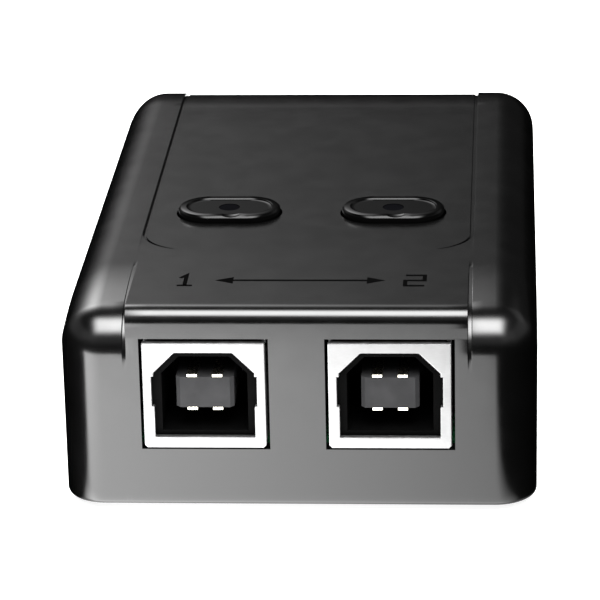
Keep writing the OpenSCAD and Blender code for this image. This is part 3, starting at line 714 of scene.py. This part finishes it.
class Shader(Nodes):
    """A material with its Principled shader, and the patterns that drive it."""

    def __init__(self, name, colour, roughness, metallic=0.0, ior=1.5):
        self.material = bpy.data.materials.new(name)
        self.material.use_nodes = True
        super().__init__(self.material.node_tree)
        self.out = self.tree.nodes.new("ShaderNodeOutputMaterial")
        self.surface = self.tree.nodes.new("ShaderNodeBsdfPrincipled")
        self.link(self.surface.outputs[0], self.out.inputs[0])
        self.surface.inputs["Base Color"].default_value = (*colour, 1)
        self.surface.inputs["Roughness"].default_value = roughness
        self.surface.inputs["Metallic"].default_value = metallic
        self.surface.inputs["IOR"].default_value = ior
        self.place = self.node("ShaderNodeTexCoord")["Object"]

    def noise(self, size_mm, detail=3.0, roughness=0.5, stretch=(1, 1, 1)):
        """Noise whose features are about size_mm across."""
        scale = [s / (size_mm * MM) for s in stretch]
        place = self.node("ShaderNodeMapping", {"Vector": self.place, "Scale": scale})[0]
        return self.node("ShaderNodeTexNoise", {"Vector": place, "Scale": 1.0, "Detail": detail,
                                                "Roughness": roughness})[0]

    def spread(self, value, low, high, start=0.35, end=0.65):
        """Maps a value, by default a noise, onto a range."""
        return self.node("ShaderNodeMapRange", {"Value": value, "From Min": start, "From Max": end,
                                                "To Min": low, "To Max": high})[0]

    def colour_between(self, value, first, second):
        """Mixes two colours by a value."""
        mixed = self.node("ShaderNodeMix", {"Factor": value, "A": (*first, 1), "B": (*second, 1)},
                          data_type="RGBA")
        self.link(mixed["Result"], self.surface.inputs["Base Color"])

    def vary_roughness(self, value, low, high):
        self.link(self.spread(value, low, high), self.surface.inputs["Roughness"])

    def bump(self, value, height_mm):
        """Raises the surface by up to height_mm."""
        raised = self.node("ShaderNodeBump", {"Strength": 1.0, "Distance": height_mm * MM,
                                              "Height": value})[0]
        self.link(raised, self.surface.inputs["Normal"])


def moulded(name, dark, light, low_rough, high_rough, grain_mm, grain_height, ior=1.5):
    """Moulded plastic: slight clouding, uneven gloss and a fine grain."""
    s = Shader(name, dark, low_rough, ior=ior)
    s.colour_between(s.spread(s.noise(9, 2), 0, 1), dark, light)
    s.vary_roughness(s.noise(2.5, 4), low_rough, high_rough)
    s.bump(s.noise(grain_mm, 2), grain_height)
    return s.material


@functools.cache
def case_plastic():
    return moulded("case_plastic", (0.0012, 0.0012, 0.0012), (0.0017, 0.0017, 0.0017), 0.17, 0.21, 0.14,
                   0.0006)


@functools.cache
def cap_plastic():
    return moulded("cap_plastic", (0.0008, 0.0008, 0.0008), (0.0012, 0.0012, 0.0012), 0.08, 0.11, 0.2,
                   0.0002, ior=1.22)


@functools.cache
def window_plastic():
    return moulded("window_plastic", (0.001, 0.001, 0.0014), (0.002, 0.002, 0.0026), 0.4, 0.5, 0.3,
                   0.0002, ior=1.03)


@functools.cache
def ink():
    return moulded("ink", (0.001, 0.001, 0.001), (0.0016, 0.0016, 0.0016), 0.7, 0.8, 0.08, 0.001, ior=1.03)


def plate_metal(name, colour, low_rough, high_rough, streak=(1, 1, 6), size=0.5, height=0.0008):
    """Rolled or plated metal with fine streaks."""
    s = Shader(name, colour, low_rough, metallic=1.0)
    streaks = s.noise(size, 4, 0.6, streak)
    s.vary_roughness(streaks, low_rough, high_rough)
    dark = [0.88 * part for part in colour]
    s.colour_between(s.spread(s.noise(3, 3), 0, 1), dark, colour)
    s.bump(streaks, height)
    return s.material


@functools.cache
def socket_metal():
    return plate_metal("socket_metal", (0.3, 0.3, 0.3), 0.38, 0.5, height=0.0003)


@functools.cache
def lead_metal():
    return plate_metal("lead_metal", (0.78, 0.79, 0.8), 0.2, 0.35, size=0.3)


@functools.cache
def screw_metal():
    return plate_metal("screw_metal", (0.55, 0.56, 0.58), 0.25, 0.42, streak=(1, 1, 1), size=0.4)


@functools.cache
def can_metal():
    return plate_metal("can_metal", (0.78, 0.79, 0.8), 0.16, 0.3, streak=(1, 4, 1))


@functools.cache
def gold():
    return plate_metal("gold", (0.9, 0.86, 0.74), 0.2, 0.32, size=0.3)


@functools.cache
def dark_insulator():
    """Black plastic; the tongues in the middle of the sockets are painted a paler satin colour as a painted
    highlight, standing in for the light on their fronts.
    """
    black, painted_lit_grey = (0.001, 0.001, 0.001), (0.032, 0.032, 0.033)
    s = Shader("dark_insulator", black, 0.55)
    s.surface.inputs["Specular IOR Level"].default_value = 0.02
    # Mask of the tongues: painted highlight, the tongues painted paler as if lit while the insulator round
    # them stays black
    place = s.node("ShaderNodeSeparateXYZ", (s.place,))
    aside = s.math("ABSOLUTE", s.math("SUBTRACT", s.math("ABSOLUTE", place["X"]), TONGUE_X * MM))
    above = s.math("ABSOLUTE", s.math("SUBTRACT", place["Z"], TONGUE_Z * MM))
    painted_lit_tongue = s.product(s.math("LESS_THAN", aside, TONGUE_HALF_W * MM),
                       s.math("LESS_THAN", above, TONGUE_HALF_H * MM))
    s.colour_between(s.product(painted_lit_tongue, s.spread(s.noise(2, 3), 0.8, 1.0)), black, painted_lit_grey)
    s.vary_roughness(s.noise(1.5, 3), 0.5, 0.62)
    s.bump(s.noise(0.15, 2), 0.001)
    return s.material


@functools.cache
def light_insulator():
    return moulded("light_insulator", (0.72, 0.72, 0.69), (0.8, 0.8, 0.78), 0.35, 0.48, 0.15, 0.001)


@functools.cache
def base_plastic():
    return moulded("base_plastic", (0.009, 0.009, 0.0095), (0.013, 0.013, 0.0135), 0.35, 0.5, 0.25, 0.006)


@functools.cache
def foot_rubber():
    return moulded("foot_rubber", (0.012, 0.012, 0.012), (0.02, 0.02, 0.02), 0.6, 0.8, 0.2, 0.004)


@functools.cache
def label_film():
    return moulded("label_film", (0.48, 0.48, 0.49), (0.54, 0.54, 0.55), 0.3, 0.42, 0.3, 0.001)


@functools.cache
def board_mask():
    """Green solder mask over fine weave."""
    s = Shader("board_mask", (0.01, 0.11, 0.04), 0.3)
    s.colour_between(s.spread(s.noise(1.4, 4), 0, 1), (0.008, 0.085, 0.03), (0.014, 0.14, 0.05))
    s.vary_roughness(s.noise(0.8, 3), 0.22, 0.36)
    s.bump(s.noise(0.35, 2, stretch=(1, 3, 1)), 0.003)
    return s.material


@functools.cache
def chip_epoxy():
    return moulded("chip_epoxy", (0.014, 0.014, 0.015), (0.022, 0.022, 0.023), 0.45, 0.6, 0.1, 0.003)


@functools.cache
def resistor_glaze():
    return moulded("resistor_glaze", (0.01, 0.01, 0.012), (0.5, 0.5, 0.5), 0.2, 0.4, 0.1, 0.001)


@functools.cache
def ceramic():
    return moulded("ceramic", (0.3, 0.2, 0.12), (0.38, 0.27, 0.17), 0.35, 0.5, 0.1, 0.002)


@functools.cache
def sleeve():
    return moulded("sleeve", (0.015, 0.025, 0.07), (0.02, 0.035, 0.1), 0.18, 0.3, 0.6, 0.002)


@functools.cache
def lamp_epoxy():
    """Clear epoxy with slight haze."""
    s = Shader("lamp_epoxy", (0.9, 0.94, 0.98), 0.05, ior=1.52)
    s.surface.inputs["Transmission Weight"].default_value = 0.85
    s.vary_roughness(s.noise(0.6, 3), 0.04, 0.12)
    s.bump(s.noise(0.5, 2), 0.0006)
    return s.material


MATERIAL_OF_SLOT = {
    "case": case_plastic, "base": base_plastic, "label": label_film, "screws": screw_metal,
    "feet": foot_rubber, "board": board_mask, "socket_shell": socket_metal,
    "socket_insulator_dark": dark_insulator, "socket_insulator_light": light_insulator,
    "contacts": gold, "button": cap_plastic, "button_window": window_plastic,
    "switch_body": chip_epoxy, "switch_metal": can_metal, "tinned_leads": lead_metal,
    "lamp_lens": lamp_epoxy, "lamp_spacer": chip_epoxy, "chip_body": chip_epoxy,
    "crystal_can": can_metal, "capacitor_sleeve": sleeve, "resistor": resistor_glaze, "ceramic": ceramic,
}

ROUNDING_MM = {
    "base": 0.15, "screws": 0.06, "feet": 0.15, "board": 0.06, "socket_shell": 0.09,
    "socket_insulator_dark": 0.1, "socket_insulator_light": 0.08, "contacts": 0.04, "switch_body": 0.08,
    "switch_metal": 0.02, "tinned_leads": 0.03, "chip_body": 0.06, "crystal_can": 0.15,
    "resistor": 0.03, "ceramic": 0.03, "label": 0.02, "lamp_spacer": 0.08,
}


def dress_cad_nodes():
    """Gives every CAD node its material, and slightly rounded edges where its slot has a rounding listed."""
    for entry in frame["record"]["subparts"]:
        obj = bpy.data.objects[entry["node"]]
        slot = entry["material_slot"]
        obj.data.materials.clear()
        obj.data.materials.append(MATERIAL_OF_SLOT[slot]())
        if slot in ROUNDING_MM:
            weld = obj.modifiers.new("join_points", "WELD")
            weld.merge_threshold = SAME_POINT * MM
            rounding = obj.modifiers.new("round_edges", "BEVEL")
            rounding.width = ROUNDING_MM[slot] * MM
            rounding.segments = 2
            rounding.limit_method = "ANGLE"
            rounding.angle_limit = math.radians(40)


# ---------------------------------------------------------------- stage, light and camera

def studio_floor():
    """A pale floor. Reflections see dark paper, with a glowing patch painted in front of the case and one
    behind as painted pools of light, the front one with a painted shadow strip right by the case.
    """
    half = 3000
    mesh = bpy.data.meshes.new("floor")
    corners = [(-half, -half, 0), (half, -half, 0), (half, half, 0), (-half, half, 0)]
    mesh.from_pydata([Vector(c) * MM for c in corners], [], [(0, 1, 2, 3)])
    floor = bpy.data.objects.new("floor", mesh)
    bpy.context.scene.collection.objects.link(floor)

    s = Shader("floor_paper", (0.8, 0.8, 0.8), 0.9)

    def ramp(direction, start, end, low, high):
        """Goes from low to high between two distances in millimetres along a direction."""
        return s.spread(s.along(s.place, direction), low, high, start * MM, end * MM)

    # Painted pool of light in front of the case, seen only in reflections: brighter to the left, darker to
    # the right, with a painted shadow strip at 0.3 strength up to 38.2 mm in front of the middle, right by
    # the case front, and a slightly brighter band beyond it
    front = s.product(ramp(RIGHT, -60, 25, 12.5, 3.4), ramp(RIGHT, 20.5, 25, 1, 0),
                      ramp(FRONT_RIGHT, 11.4, 14.4, 0, 1), ramp(FRONT, 85, 106, 1, 0),
                      ramp(FRONT, 38.2, 38.8, 0.3, 1), ramp(FRONT, 39.8, 41.2, 1.5, 1))
    # Painted pool of light behind the case, seen only in reflections
    back = s.product(ramp(BACK, 39, 43, 0, 3.5), ramp(BACK, 95, 130, 1, 0),
                     ramp(RIGHT, -18, -13, 0, 1), ramp(RIGHT, 13, 18, 1, 0))
    lit = s.node("ShaderNodeEmission", {"Strength": s.math("ADD", front, back)})[0]
    shine = s.node("ShaderNodeEmission", {"Strength": 0.85})[0]
    pale = s.node("ShaderNodeAddShader", (s.surface.outputs[0], shine))[0]
    s.link(s.seen_or_lit(seen=pale, lit=lit), s.out.inputs[0])
    floor.data.materials.append(s.material)


class Sky(Nodes):
    """The world's light: soft glows on a dim surround."""

    def __init__(self, dim):
        self.world = bpy.data.worlds.new("studio")
        self.world.use_nodes = True
        super().__init__(self.world.node_tree)
        self.direction = self.node("ShaderNodeTexCoord")["Generated"]
        self.total = dim

    def glow(self, azimuth, elevation, half_w, half_h, peak, edge=2.0):
        """A glow in a direction; azimuth 0 is behind the case and 90 to its right, sizes in degrees.

        A larger edge gives it a flatter middle and a crisper outline.
        """
        az, el = math.radians(azimuth), math.radians(elevation)
        centre = Vector((math.sin(az) * math.cos(el), math.cos(az) * math.cos(el), math.sin(el)))
        across = Vector((math.cos(az), -math.sin(az), 0))
        up = across.cross(centre)
        fall = 0.0
        for direction, half in ((across, half_w), (up, half_h)):
            size = math.sin(math.radians(half)) / math.log(2) ** (1 / edge)
            offset = self.math("ABSOLUTE", self.along(self.direction, direction))
            share = self.math("POWER", self.math("DIVIDE", offset, size), edge)
            fall = self.math("ADD", share, fall)
        shape = self.math("EXPONENT", self.math("MULTIPLY", fall, -1.0))
        facing = self.math("GREATER_THAN", self.along(self.direction, centre), 0.0)
        self.total = self.math("ADD", self.total, self.product(shape, facing, peak))

    def show(self, pale):
        """Lights the scene with the glows, while the camera sees pale paper."""
        light = self.node("ShaderNodeBackground", {"Strength": self.total})[0]
        paper = self.node("ShaderNodeBackground", {"Strength": pale})[0]
        self.node("ShaderNodeOutputWorld", (self.seen_or_lit(seen=paper, lit=light),))
        bpy.context.scene.world = self.world


def studio_light():
    """A long soft box over the front, a round glow behind the left, and faint panels low down all round."""
    sky = Sky(dim=0.012)
    sky.glow(azimuth=177.5, elevation=64, half_w=18.5, half_h=19, peak=29.0, edge=4.0)
    sky.glow(azimuth=-25, elevation=39, half_w=10.6, half_h=12, peak=10.6)
    sky.glow(azimuth=100, elevation=50, half_w=25, half_h=20, peak=0.15)
    for side in (-1, 1):
        sky.glow(azimuth=46 * side, elevation=33, half_w=14, half_h=11, peak=0.35, edge=4.0)
        sky.glow(azimuth=90 * side, elevation=26, half_w=33, half_h=13, peak=0.5, edge=4.0)
        sky.glow(azimuth=138 * side, elevation=30, half_w=18, half_h=12, peak=0.5, edge=4.0)
    sky.glow(azimuth=180, elevation=24, half_w=35, half_h=11, peak=0.35, edge=4.0)
    sky.show(pale=0.95)


def camera():
    """A camera where the photograph's stood, with no lens shift."""
    data = bpy.data.cameras.new("camera")
    data.lens = CAMERA_LENS
    data.sensor_width = 36
    data.clip_start = 0.01
    cam = bpy.data.objects.new("camera", data)
    bpy.context.scene.collection.objects.link(cam)
    cam.location = Vector(CAMERA_PLACE) * MM
    turn = Euler((math.radians(90 - CAMERA_DOWN), 0, math.radians(CAMERA_LEFT))).to_matrix()
    roll = Matrix.Rotation(math.radians(CAMERA_ROLL), 3, "Z")
    cam.rotation_euler = (turn @ roll).to_euler()
    bpy.context.scene.camera = cam


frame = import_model()

bpy.context.scene.view_settings.view_transform = "Standard"
camera()
studio_floor()
studio_light()
dress_cad_nodes()
case_shape = upper_case()
for hand in ("left", "right"):
    button_cap(hand)
    button_window(hand)
    snap_dome(hand)
printed_marks(case_shape)
